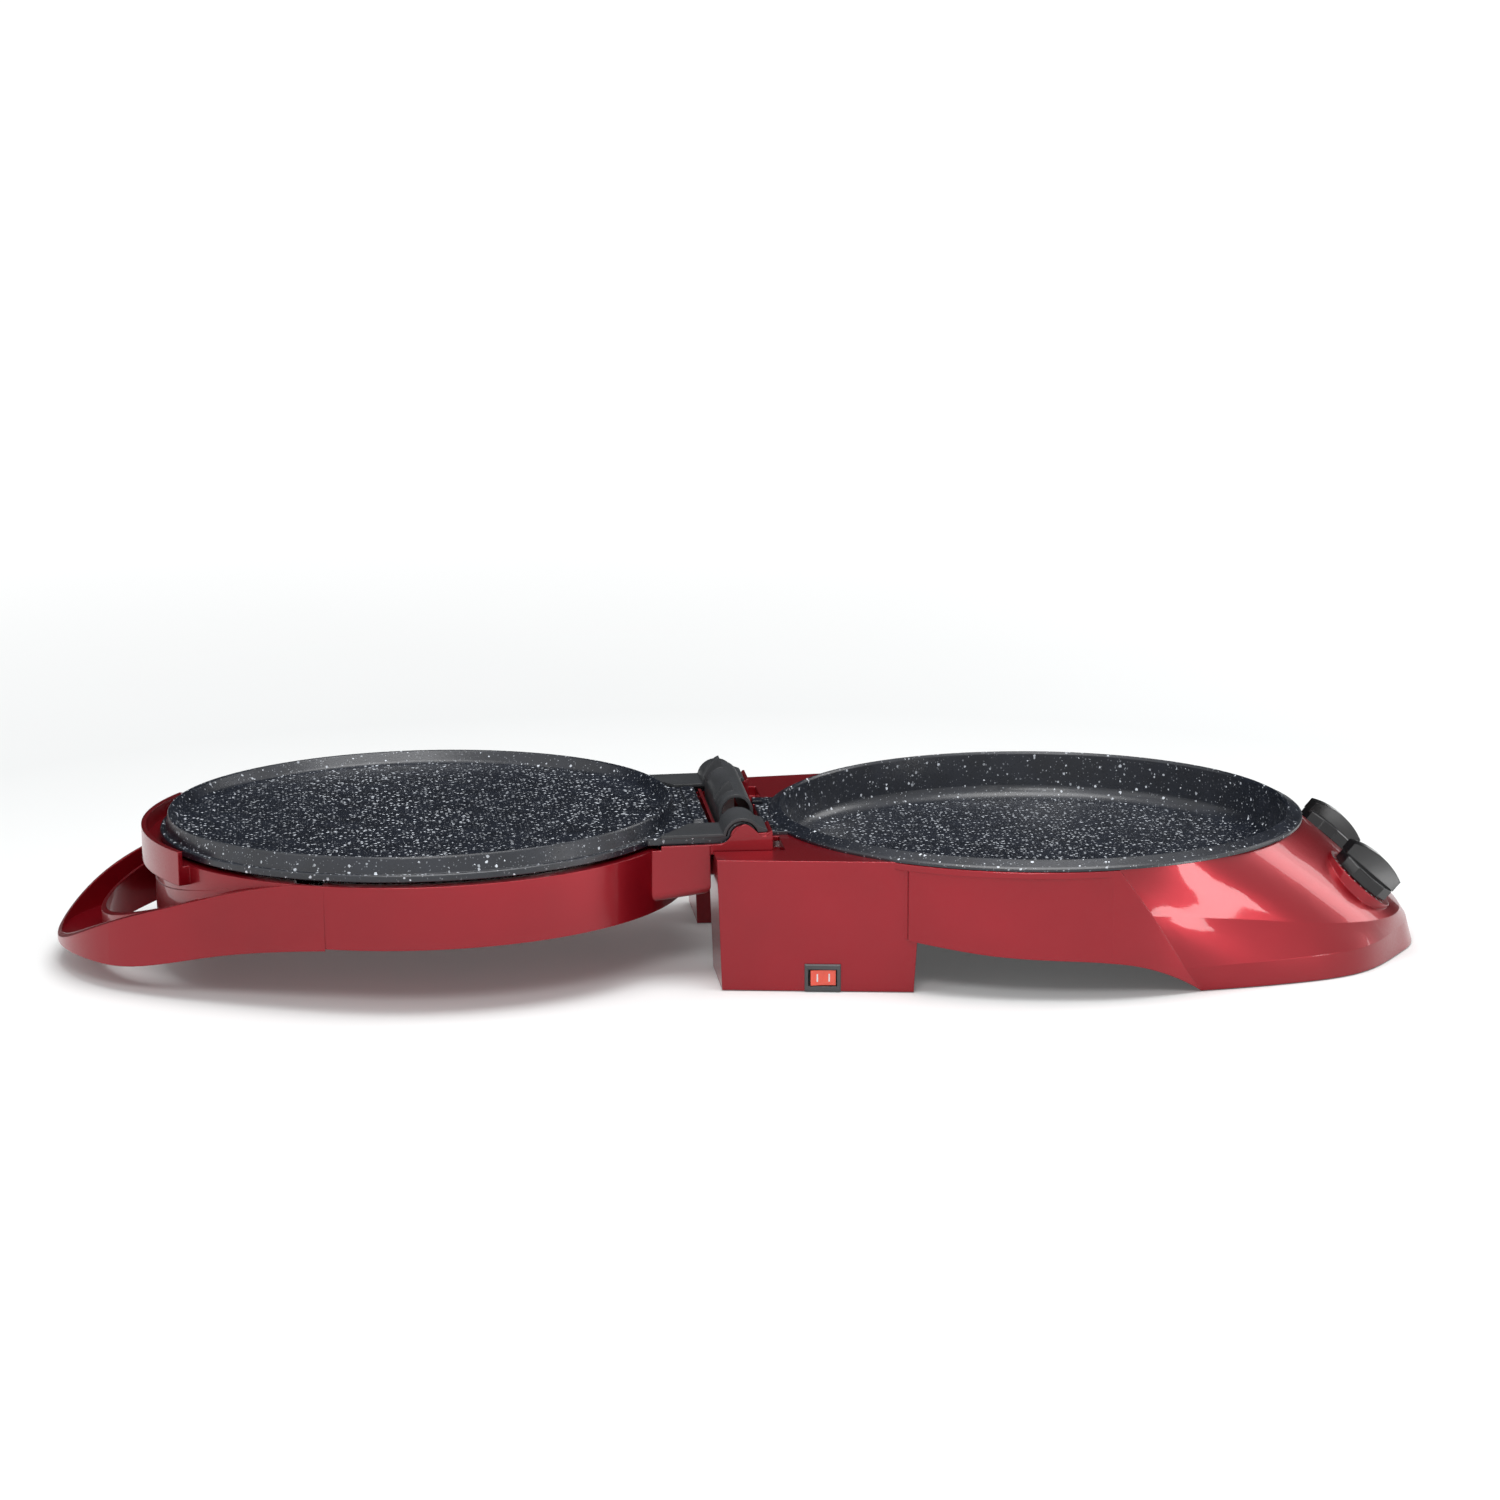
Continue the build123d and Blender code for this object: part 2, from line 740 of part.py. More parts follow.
# Coated pan
lean = math.radians(pan_wall_lean)
bend_end = (pan_floor_r + pan_bend_r * math.cos(lean), pan_floor + pan_bend_r * (1 - math.sin(lean)))
wall_head = pan_crest - 1.4
wall_head_r = bend_end[0] + (wall_head - bend_end[1]) * math.tan(lean)
with BuildPart() as lower_pan:
    with BuildSketch(pan_section):
        with BuildLine():
            floor_line = Line((0, pan_floor), (pan_floor_r, pan_floor))
            bend_arc = JernArc(floor_line @ 1, (1, 0), pan_bend_r, 90 - pan_wall_lean)
            Polyline(
                bend_arc @ 1,
                (wall_head_r, wall_head),
                (wall_head_r + 0.8, pan_crest - 0.2),
                (pan_crest_r, pan_crest),
                (rim_r - 1.2, base_top + pan_flange),
                (rim_r, base_top + pan_flange - 1.0),
                (rim_r, base_top),
                (pan_inner_r - 0.5, base_top),
                (wall_head_r + pan_metal - 0.6, base_top - 2.0),
                (bend_end[0] + pan_metal, bend_end[1]),
                (pan_floor_r + 2.0, pan_floor - pan_metal),
                (element_ring_r + element_seat_width / 2, pan_floor - pan_metal),
                (element_ring_r + element_seat_width / 2, pan_floor - pan_metal - element_seat_depth),
                (element_ring_r - element_seat_width / 2, pan_floor - pan_metal - element_seat_depth),
                (element_ring_r - element_seat_width / 2, pan_floor - pan_metal),
                (0, pan_floor - pan_metal),
                (0, pan_floor),
            )
        make_face()
    revolve(axis=pan_axis)
    # Tab between the pan's rim and the hinge
    with BuildSketch(base_level(base_top)):
        with Locations((tab_edge_x, 0)):
            Rectangle(pan_x - wall_head_r - tab_edge_x, 2 * tab_half_width, align=(Align.MIN, Align.CENTER))
        with Locations((pan_x, 0)):
            Circle(wall_head_r + 1.5, mode=Mode.SUBTRACT)
    extrude(amount=tab_thickness)
    for side in (-1, 1):
        with BuildSketch(base_side(side * fin_y)):
            with Locations((0, hinge_height)):
                Circle(math.hypot(*fin_tip) + fin_clearance)
        extrude(amount=fin_thickness / 2 + 1, both=True, mode=Mode.SUBTRACT)
    # Groove that holds the heating element
    add(lower_heating_element.part, mode=Mode.SUBTRACT)
lower_pan.part.label = "lower_pan"
export_step(lower_pan.part, "parts/lower_pan.step")


def heat_reflector(plane):
    """Shallow dish with a rim lip, opening along the plane's direction."""
    section = Plane(origin=plane.origin, x_dir=plane.x_dir, z_dir=-plane.y_dir)
    with BuildPart() as dish:
        with BuildSketch(section):
            with BuildLine():
                Polyline(
                    (0, 0),
                    (reflector_r, 0),
                    (reflector_r, reflector_drop - reflector_sheet),
                    (reflector_r + reflector_lip, reflector_drop - reflector_sheet),
                    (reflector_r + reflector_lip, reflector_drop),
                    (reflector_r - reflector_sheet, reflector_drop),
                    (reflector_r - reflector_sheet, reflector_sheet),
                    (0, reflector_sheet),
                    close=True,
                )
            make_face()
        revolve(axis=Axis(plane.origin, plane.z_dir))
        with BuildSketch(plane.offset(reflector_sheet)):
            with Locations((-reflector_r, 0)):
                notch = 2 * element_ring_r * math.sin(math.radians(element_gap / 2)) + 10
                Rectangle(4 * reflector_lip, notch)
        extrude(amount=reflector_drop, mode=Mode.SUBTRACT)
    return dish.part


with BuildPart() as lower_heat_reflector:
    add(heat_reflector(Plane(pan_centre).offset(pan_floor - pan_metal - reflector_drop)))
lower_heat_reflector.part.label = "lower_heat_reflector"
export_step(lower_heat_reflector.part, "parts/lower_heat_reflector.step")


# Hinge brackets and pins of the base
def hinge_bracket():
    """Upright on the near pod's inner face: a round knuckle on a straight foot."""
    with BuildPart() as bracket:
        with BuildSketch(base_side(-pod_inner_y + bracket_thickness)):
            with Locations((0, hinge_height)):
                Circle(bracket_knuckle_r)
            with Locations((0, bracket_foot)):
                Rectangle(2 * bracket_knuckle_r, hinge_height - bracket_foot, align=(Align.CENTER, Align.MIN))
            with Locations((0, hinge_height)):
                Circle(pin_r, mode=Mode.SUBTRACT)
        extrude(amount=bracket_thickness)
    return bracket.part


def hinge_pin():
    """Near pin: a plain rod held in the bracket."""
    with BuildPart() as pin:
        with BuildSketch(base_side(-pin_inner_y)):
            with Locations((0, hinge_height)):
                Circle(pin_r)
        extrude(amount=pin_outer_y - pin_inner_y)
        chamfer(pin.edges(), length=0.5)
    return pin.part


with BuildPart() as near_hinge_bracket:
    add(hinge_bracket())
near_hinge_bracket.part.label = "near_hinge_bracket"
export_step(near_hinge_bracket.part, "parts/near_hinge_bracket.step")

with BuildPart() as far_hinge_bracket:
    add(hinge_bracket().mirror(Plane.XZ))
far_hinge_bracket.part.label = "far_hinge_bracket"
export_step(far_hinge_bracket.part, "parts/far_hinge_bracket.step")

with BuildPart() as near_hinge_pin:
    add(hinge_pin())
near_hinge_pin.part.label = "near_hinge_pin"
export_step(near_hinge_pin.part, "parts/near_hinge_pin.step")

with BuildPart() as far_hinge_pin:
    add(hinge_pin().mirror(Plane.XZ))
far_hinge_pin.part.label = "far_hinge_pin"
export_step(far_hinge_pin.part, "parts/far_hinge_pin.step")


# Knobs, their shafts, and the bodies behind the control front
def knob(side):
    """Faceted base ring with a full-width grip whose top is an arc."""
    foot = knob_gap
    ledge = foot + knob_ring_height
    end_top = foot + grip_end_height
    crown = foot + knob_height
    grip_half = math.sqrt(knob_r**2 - (grip_width / 2) ** 2)
    upright = Plane(
        origin=knob_plane(side).origin,
        x_dir=knob_plane(side).x_dir,
        z_dir=(0, -1, 0),
    )
    with BuildPart() as turned:
        with BuildSketch(knob_plane(side, foot)):
            RegularPolygon(knob_r, knob_facets)
        extrude(amount=knob_ring_height)
        chamfer(turned.faces().sort_by(Axis(knob_plane(side).origin, knob_axis))[-1].edges(), length=0.8)
        with BuildSketch(upright):
            with BuildLine():
                ThreePointArc((-grip_half, end_top), (0, crown), (grip_half, end_top))
                Polyline(
                    (grip_half, end_top),
                    (grip_half, ledge - 1),
                    (-grip_half, ledge - 1),
                    (-grip_half, end_top),
                )
            make_face()
        extrude(amount=grip_width / 2, both=True)
        with BuildSketch(knob_plane(side, foot)):
            Circle(shaft_r)
        extrude(amount=shaft_grip, mode=Mode.SUBTRACT)
    return turned.part


def knob_shaft(side):
    """Plain shaft from inside the knob down into the body behind the front."""
    with BuildPart() as rod:
        with BuildSketch(knob_plane(side, knob_gap + shaft_grip)):
            Circle(shaft_r)
        extrude(amount=-(shaft_grip + knob_gap + control_body_drop + shaft_depth))
    return rod.part


def control_body(side):
    """Round body with a bore for the shaft and two tabs for its wires."""
    face = -control_body_drop
    with BuildPart() as body:
        with BuildSketch(knob_plane(side, face)):
            Circle(control_body_r)
        extrude(amount=-control_body_depth)
        with BuildSketch(knob_plane(side, face)):
            Circle(shaft_r + running_clearance)
        extrude(amount=-shaft_depth - 0.5, mode=Mode.SUBTRACT)
        with BuildSketch(knob_plane(side, face - control_body_depth)):
            with Locations((0, -5), (0, 5)):
                Rectangle(6.3, 0.8)
        extrude(amount=-6)
    return body.part


with BuildPart() as thermostat_knob:
    add(knob(-1))
thermostat_knob.part.label = "thermostat_knob"
export_step(thermostat_knob.part, "parts/thermostat_knob.step")

with BuildPart() as timer_knob:
    add(knob(1))
timer_knob.part.label = "timer_knob"
export_step(timer_knob.part, "parts/timer_knob.step")

with BuildPart() as thermostat_shaft:
    add(knob_shaft(-1))
thermostat_shaft.part.label = "thermostat_shaft"
export_step(thermostat_shaft.part, "parts/thermostat_shaft.step")

with BuildPart() as timer_shaft:
    add(knob_shaft(1))
timer_shaft.part.label = "timer_shaft"
export_step(timer_shaft.part, "parts/timer_shaft.step")

with BuildPart() as thermostat_body:
    add(control_body(-1))
thermostat_body.part.label = "thermostat_body"
export_step(thermostat_body.part, "parts/thermostat_body.step")

with BuildPart() as timer_body:
    add(control_body(1))
timer_body.part.label = "timer_body"
export_step(timer_body.part, "parts/timer_body.step")

# Rocker switch
pivot_plane = switch_plane(bezel_thickness - rocker_pivot_depth)
pocket = (2 * (rocker_r + rocker_gap), rocker_size[1] + 2 * rocker_gap)
with BuildPart() as switch_housing:
    with BuildSketch(switch_plane(0)):
        Rectangle(*bezel_size)
    extrude(amount=bezel_thickness)
    chamfer(switch_housing.faces().sort_by(Axis(pivot_plane.origin, face_normal))[-1].edges(), length=0.6)
    with BuildSketch(switch_plane(0)):
        Rectangle(*switch_body_size)
    extrude(amount=-switch_body_depth)
    with BuildSketch(switch_plane(bezel_thickness)):
        Rectangle(*pocket)
    extrude(amount=-rocker_size[2] - 1.5, mode=Mode.SUBTRACT)
    with BuildSketch(Plane(origin=pivot_plane.origin, x_dir=face_along, z_dir=(0, 0, 1))):
        Circle(rocker_stub_r + running_clearance)
    extrude(amount=rocker_size[1] / 2 + rocker_gap + 1.2, both=True, mode=Mode.SUBTRACT)
    with BuildSketch(switch_plane(-switch_body_depth)):
        with Locations((-5, 0), (5, 0)):
            Rectangle(0.8, 4.8)
    extrude(amount=-7)
switch_housing.part.label = "switch_housing"
export_step(switch_housing.part, "parts/switch_housing.step")

rocker_turn = math.radians(rocker_tilt)
rocker_along = Vector(
    face_along.X * math.cos(rocker_turn) - face_along.Y * math.sin(rocker_turn),
    face_along.X * math.sin(rocker_turn) + face_along.Y * math.cos(rocker_turn),
    0,
)
rocker_plane = Plane(origin=pivot_plane.origin, x_dir=rocker_along, z_dir=(0, 0, 1))
with BuildPart() as switch_rocker:
    with BuildSketch(rocker_plane):
        Circle(rocker_r)
        with BuildLine():
            Polyline(
                (-rocker_size[0] / 2, 1.0),
                (rocker_size[0] / 2, 1.0),
                (rocker_size[0] / 2, -rocker_end_rise),
                (0, -rocker_mid_rise),
                (-rocker_size[0] / 2, -rocker_end_rise),
                close=True,
            )
        make_face(mode=Mode.INTERSECT)
    extrude(amount=rocker_size[1] / 2, both=True)
    with BuildSketch(rocker_plane):
        Circle(rocker_stub_r)
    extrude(amount=rocker_size[1] / 2 + rocker_gap + 0.8, both=True)
switch_rocker.part.label = "switch_rocker"
export_step(switch_rocker.part, "parts/switch_rocker.step")

# Cord bush and terminal block in the far pod
with BuildPart() as cord_gland:
    with BuildSketch(gland_plane):
        Circle(gland_flange_r)
    extrude(amount=gland_collar)
    with BuildSketch(gland_plane):
        Circle(gland_r)
    extrude(amount=-gland_length)
    with BuildSketch(gland_plane.offset(gland_collar)):
        Circle(gland_r)
    extrude(amount=gland_collar, taper=8)
    with BuildSketch(gland_plane.offset(2 * gland_collar)):
        Circle(gland_bore_r)
    extrude(amount=-2 * gland_collar - gland_length, mode=Mode.SUBTRACT)
cord_gland.part.label = "cord_gland"
export_step(cord_gland.part, "parts/cord_gland.step")

with BuildPart() as terminal_block:
    with BuildSketch(base_level(plate_level)):
        with Locations(terminal_place):
            Rectangle(*terminal_size[:2])
    extrude(amount=terminal_size[2])
    with BuildSketch(base_level(plate_level + terminal_size[2])):
        with Locations(terminal_place):
            with GridLocations(0, terminal_size[1] / 3, 1, 3):
                Circle(screw_r)
    extrude(amount=-terminal_size[2] / 2, mode=Mode.SUBTRACT)
terminal_block.part.label = "terminal_block"
export_step(terminal_block.part, "parts/terminal_block.step")


# Lid
def lid_body(inset):
    """Round shell of the lid as a solid, drawn in by an inset on every side."""
    outer_r = lid_wall_r - inset
    foot_r = outer_r + (lid_wall_foot - lid_top) * math.tan(math.radians(lid_wall_draft))
    crown_foot = lid_wall_foot - lid_crown + inset
    dome_r = (foot_r**2 + lid_crown**2) / (2 * lid_crown)
    with BuildPart() as body:
        with BuildSketch(lid_section) as profile:
            with BuildLine():
                dome = JernArc((0, crown_foot), (1, 0), dome_r, math.degrees(math.asin(foot_r / dome_r)))
                Polyline(dome @ 1, (outer_r, lid_top - inset), (0, lid_top - inset), (0, crown_foot))
            make_face()
            fillet(profile.vertices().filter_by(lambda v: abs((v.center() - lid_frame.origin).dot(
                lid_frame.z_dir) - lid_wall_foot) < 2 * wall).sort_by_distance(lid_centre)[-1:],
                   lid_edge_r - inset)
        revolve(axis=lid_axis)
    return body.part


def handle_plan(inset):
    """Plan of the handle: a round nose and two curves that run into the lid's wall."""
    nose_r = handle_tip_r - inset
    turn = math.radians(handle_corner_angle)
    nose_x = handle_tip_r - lid_reach
    corner = (nose_x - nose_r * math.cos(turn), nose_r * math.sin(turn))
    join = (handle_join_x, circle_y(lid_wall_r, 2 * pan_x + handle_join_x) - inset)
    join_dir = (join[1] / lid_wall_r, (-pan_x - handle_join_x) / lid_wall_r)
    pull = (corner[0] + handle_bend_pull * math.sin(turn), corner[1] + handle_bend_pull * math.cos(turn))
    far = (join[0] - handle_join_pull * join_dir[0], join[1] - handle_join_pull * join_dir[1])
    with BuildSketch() as plan:
        with BuildLine():
            ThreePointArc((corner[0], -corner[1]), (nose_x - nose_r, 0), corner)
            Bezier(corner, pull, far, join)
            Line(join, (join[0], -join[1]))
            Bezier((join[0], -join[1]), (far[0], -far[1]), (pull[0], -pull[1]), (corner[0], -corner[1]))
        make_face()
    return plan.sketch


def handle_block(inset, foot, drop):
    """Handle as an upright block under its sweeping top edge, which is lowered by a drop."""
    with BuildPart() as block:
        with BuildSketch(lid_level(foot)):
            add(handle_plan(inset))
        extrude(amount=lid_top - foot)
        with BuildSketch(lid_side(0)):
            edge = [(x, height - drop) for x, height in handle_top]
            with BuildLine():
                Spline(*edge, tangents=[(-1, -0.06), (-1, -0.9)])
                outside_x = -lid_reach - 20
                Polyline(edge[-1], (outside_x, edge[-1][1]), (outside_x, 20), (edge[0][0], 20), edge[0])
            make_face()
        extrude(amount=2 * handle_half_span, both=True, mode=Mode.SUBTRACT)
    return block.part


def below_handle(lift):
    """Everything under the handle's sweeping underside, raised by a lift."""
    edge = [(x, height + lift) for x, height in handle_underside]
    with BuildPart() as under:
        with BuildSketch(lid_side(0)):
            with BuildLine():
                Spline(*edge)
                Polyline(edge[-1], (edge[-1][0], -3 * hinge_height), (edge[0][0], -3 * hinge_height), edge[0])
            make_face()
        extrude(amount=2 * handle_half_span, both=True)
    return under.part


def loop_solid(margin, foot, head):
    """Upright ellipse around the finger hole."""
    with BuildPart() as loop:
        with BuildSketch(lid_level(foot)):
            with Locations((loop_centre_x, 0)):
                Ellipse(loop_radii[0] + margin, loop_radii[1] + margin)
        extrude(amount=head - foot)
    return loop.part


def lid_cylinder(radius, foot, head):
    """Round column about the lid's centre."""
    with BuildPart() as column:
        with BuildSketch(lid_level(foot)):
            with Locations((-pan_x, 0)):
                Circle(radius)
        extrude(amount=head - foot)
    return column.part


def arm_block(inset, half_width, end_x, foot_end, foot_root):
    """Block between the lid's wall and the hinge, with rounded lower edges."""
    corner = arm_edge_r - inset
    with BuildPart() as block:
        with BuildSketch(lid_side(0)):
            with BuildLine():
                Polyline(
                    (end_x - inset, lid_top),
                    (end_x - inset, foot_end + inset),
                    (arm_root_x, foot_root + inset),
                    (arm_root_x, lid_top),
                    close=True,
                )
            make_face()
        extrude(amount=half_width - inset, both=True)
        under = block.faces().sort_by(Axis(lid_frame.origin, lid_frame.z_dir))[0]
        clear_of = lid_frame.origin.dot(lid_frame.x_dir) + arm_root_x + 1
        rounded = [e for e in under.edges() if e.center().dot(lid_frame.x_dir) > clear_of]
        fillet(rounded, radius=corner)
    return block.part


floor_low = -2 * hinge_height
cavity = lid_body(wall)
with BuildPart() as lid_handle:
    add(handle_block(0, floor_low, 0))
    add(below_handle(0), mode=Mode.SUBTRACT)
with BuildPart() as handle_space:
    add(handle_block(handle_wall, floor_low, -2 * handle_wall))
    add(loop_solid(handle_wall, floor_low, 1), mode=Mode.SUBTRACT)
    add(lid_cylinder(lid_wall_r, floor_low, 1), mode=Mode.SUBTRACT)
    add(below_handle(handle_wall), mode=Mode.SUBTRACT)
with BuildPart() as handle_cavity:
    add(handle_block(handle_wall, floor_low, 0))
    add(lid_cylinder(lid_wall_r - wall, floor_low, 1), mode=Mode.INTERSECT)
    add(below_handle(handle_wall), mode=Mode.SUBTRACT)
with BuildPart() as finger_hole:
    add(loop_solid(0, floor_low, 1))
    add(lid_cylinder(lid_wall_r, floor_low, 1), mode=Mode.SUBTRACT)
with BuildPart() as loop_trim:
    add(loop_solid(handle_wall, floor_low, 1))
    add(lid_cylinder(lid_wall_r, floor_low, 1), mode=Mode.SUBTRACT)
    add(handle_block(-handle_wall, floor_low, loop_drop), mode=Mode.SUBTRACT)

with BuildPart() as arm_space:
    add(arm_block(wall, arm_outer_y, arm_end_x, arm_foot_end, arm_foot_root))
    with BuildSketch(lid_level(rear_wall_foot + wall)):
        with Locations((rear_wall_x - rear_rib, 0)):
            Rectangle(2 * wall - arm_end_x, 2 * (rear_wall_half_width - wall),
                      align=(Align.MAX, Align.CENTER))
    extrude(amount=lid_top - rear_wall_foot)
    add(lid_cylinder(lid_wall_r, floor_low, lip_top + 1), mode=Mode.SUBTRACT)

with BuildPart() as lid_housing:
    add(lid_handle.part)
    add(loop_trim.part, mode=Mode.SUBTRACT)
    add(handle_space.part, mode=Mode.SUBTRACT)
    add(finger_hole.part, mode=Mode.SUBTRACT)
    add(lid_body(0))
    add(arm_block(0, arm_outer_y, arm_end_x, arm_foot_end, arm_foot_root))
    with BuildSketch(lid_level(rear_wall_foot)):
        with Locations((rear_wall_x, 0)):
            Rectangle(rear_wall_x - arm_end_x + 5, 2 * rear_wall_half_width, align=(Align.MAX, Align.CENTER))
    extrude(amount=lid_top - rear_wall_foot)
    with BuildSketch(lid_level(lid_top)):
        with Locations((rear_wall_x, 0)):
            Rectangle(rear_rib, 2 * rear_wall_half_width, align=(Align.MAX, Align.CENTER))
    extrude(amount=rear_wall_top - lid_top)
    # Lip at the front of the lid
    with BuildSketch(lid_level(lip_foot)):
        with Locations((-pan_x, 0)):
            Circle(lip_outer_r)
            Circle(lid_wall_r - wall, mode=Mode.SUBTRACT)
            with BuildLine():
                spread = math.radians(lip_half_angle)
                far = 2 * lid_wall_r
                Polyline((-pan_x, 0), (-pan_x - far * math.cos(spread), far * math.sin(spread)),
                         (-pan_x - far * math.cos(spread), -far * math.sin(spread)), close=True)
            make_face(mode=Mode.INTERSECT)
    extrude(amount=lip_top - lip_foot)
    # Inside of the lid, its opening, the arms and the lip
    add(cavity, mode=Mode.SUBTRACT)
    add(handle_cavity.part, mode=Mode.SUBTRACT)
    add(lid_cylinder(plate_opening_r, 2 * lid_top, lip_top + 1), mode=Mode.SUBTRACT)
    add(lid_cylinder(lip_outer_r - lip_thickness, lip_floor, lip_top + 1), mode=Mode.SUBTRACT)
    add(arm_space.part, mode=Mode.SUBTRACT)
    # Ears around the hinge axis, with the bores for their bushes
    ear_body_y = ear_outer_y - ear_cheek
    for side in (-1, 1):
        with BuildSketch(lid_side(side * (ear_inner_y + ear_body_y) / 2)):
            with BuildLine():
                saddle_x = math.sqrt(ear_r**2 - ear_saddle**2)
                shoulder_x = -math.sqrt(ear_r**2 - lid_top**2)
                Polyline(
                    (saddle_x, ear_saddle),
                    (ear_end_x - ear_lip, ear_saddle),
                    (ear_end_x - ear_lip / 2, ear_lip_top),
                    (ear_end_x, ear_lip_top),
                    (ear_end_x, ear_foot + ear_bevel),
                    (ear_end_x - ear_bevel, ear_foot),
                    (arm_end_x - wall, ear_foot),
                    (arm_end_x - wall, lid_top),
                    (shoulder_x, lid_top),
                )
                ThreePointArc((shoulder_x, lid_top), (0, ear_r), (saddle_x, ear_saddle))
            make_face()
        extrude(amount=(ear_body_y - ear_inner_y) / 2, both=True)
        with BuildSketch(lid_side(side * (ear_inner_y + bush_outer_y) / 2)):
            Circle(bush_r)
        extrude(amount=(bush_outer_y - ear_inner_y) / 2, both=True, mode=Mode.SUBTRACT)
        # Cheek that closes each ear, with the hump and saddle of its outer face
        with BuildSketch(lid_side(side * (ear_outer_y - ear_cheek / 2))):
            with BuildLine():
                Spline(*ear_outline, tangents=[(1, 0), (0, -1)])
                Polyline(
                    ear_outline[-1],
                    (ear_end_x, ear_foot + ear_bevel),
                    (ear_end_x - ear_bevel, ear_foot),
                    (arm_end_x - wall, ear_foot),
                    (arm_end_x - wall, lid_top),
                    ear_outline[0],
                )
            make_face()
        extrude(amount=ear_cheek / 2, both=True)
lid_housing.part.label = "lid_housing"
export_step(lid_housing.part, "parts/lid_housing.step")

# Heating parts of the lid
lid_down = Plane(origin=lid_centre, x_dir=lid_frame.x_dir * -1, z_dir=lid_frame.z_dir)
with BuildPart() as upper_heating_element:
    add(heating_element(lid_down.offset(plate_floor - plate_metal - element_seat_depth)))
upper_heating_element.part.label = "upper_heating_element"
export_step(upper_heating_element.part, "parts/upper_heating_element.step")

# Coated plate of the lid
with BuildPart() as upper_plate:
    with BuildSketch(lid_section) as profile:
        with BuildLine():
            Line((0, plate_floor), (plate_floor_r, plate_floor))
            bend = JernArc((plate_floor_r, plate_floor), (1, 0), plate_bend_r, 60)
            Polyline(
                bend @ 1,
                (plate_crest_r - 2.6, plate_crest - 0.5),
                (plate_crest_r - 1.8, plate_crest),
                (plate_crest_r - 0.9, plate_crest),
                (plate_crest_r - 0.3, plate_crest - 0.8),
                (plate_ring_r, flange_top),
                (flange_r - 0.6, flange_top),
                (flange_r, flange_top - 0.6),
                (flange_r, lid_top),
                (plate_opening_r + 1.5, lid_top),
                (plate_opening_r - 1, plate_floor - plate_metal),
                (element_ring_r + element_seat_width / 2, plate_floor - plate_metal),
                (element_ring_r + element_seat_width / 2, plate_floor - plate_metal - element_seat_depth),
                (element_ring_r - element_seat_width / 2, plate_floor - plate_metal - element_seat_depth),
                (element_ring_r - element_seat_width / 2, plate_floor - plate_metal),
                (0, plate_floor - plate_metal),
                (0, plate_floor),
            )
        make_face()
    revolve(axis=lid_axis)
    add(upper_heating_element.part, mode=Mode.SUBTRACT)
    # Extension towards the hinge, and its raised rib
    with BuildSketch(lid_level(lid_top)):
        with Locations((extension_x, 0)):
            Rectangle(extension_root + extension_x, 2 * extension_half_width,
                      align=(Align.MAX, Align.CENTER))
        with Locations((rear_wall_x, 0)):
            Rectangle(rear_rib + extension_gap, 2 * (rear_wall_half_width + extension_gap),
                      align=(Align.MAX, Align.CENTER), mode=Mode.SUBTRACT)
        with Locations((-pan_x, 0)):
            Circle(plate_ring_r - 2, mode=Mode.SUBTRACT)
    extrude(amount=flange_top - lid_top)
    with BuildSketch(lid_level(flange_top)):
        with Locations(((rib_x[0] + rib_x[1]) / 2, 0)):
            RectangleRounded(rib_x[1] - rib_x[0], 2 * (rear_wall_half_width - 1), radius=2)
    extrude(amount=rib_top - flange_top, taper=20)
    # Straps that run over the ears, under the covers
    for side in (-1, 1):
        with BuildSketch(lid_side(side * (ear_inner_y + extension_half_width) / 2)):
            Circle(ear_r + strap_gap + strap_thickness)
            with BuildLine():
                strap_r = ear_r + strap_gap
                Polyline(
                    (extension_x, lid_top),
                    (0, lid_top),
                    (0, ear_saddle + 0.5),
                    (strap_end_x, ear_saddle + 0.5),
                    (strap_end_x, 2 * strap_r),
                    (extension_x, 2 * strap_r),
                    close=True,
                )
            make_face(mode=Mode.INTERSECT)
            with Locations(((extension_x - 1 - strap_r) / 2, (lid_top + flange_top) / 2)):
                Rectangle(-extension_x + 1 - strap_r + 2, flange_top - lid_top)
            Circle(strap_r, mode=Mode.SUBTRACT)
        extrude(amount=(extension_half_width - ear_inner_y) / 2, both=True)
upper_plate.part.label = "upper_plate"
export_step(upper_plate.part, "parts/upper_plate.step")

with BuildPart() as upper_heat_reflector:
    add(heat_reflector(lid_down.offset(plate_floor - plate_metal - reflector_drop)))
upper_heat_reflector.part.label = "upper_heat_reflector"
export_step(upper_heat_reflector.part, "parts/upper_heat_reflector.step")

with BuildPart() as thermal_fuse:
    with BuildSketch(Plane(
        origin=lid_down.from_local_coords((0, -fuse_size[0] / 2, plate_floor - plate_metal - reflector_drop
                                           - fuse_size[1] / 2)),
        x_dir=lid_down.x_dir,
        z_dir=lid_down.y_dir,
    )):
        Circle(fuse_size[1] / 2)
    extrude(amount=fuse_size[0])
thermal_fuse.part.label = "thermal_fuse"
export_step(thermal_fuse.part, "parts/thermal_fuse.step")

# Bushes in the lid's ears
with BuildPart() as hinge_bushes:
    for side in (-1, 1):
        with BuildSketch(lid_side(side * (ear_inner_y + bush_outer_y) / 2)):
            Circle(bush_r)
            Circle(pin_r + running_clearance, mode=Mode.SUBTRACT)
        extrude(amount=(bush_outer_y - ear_inner_y) / 2, both=True)
hinge_bushes.part.label = "hinge_bushes"
export_step(hinge_bushes.part, "parts/hinge_bushes.step")


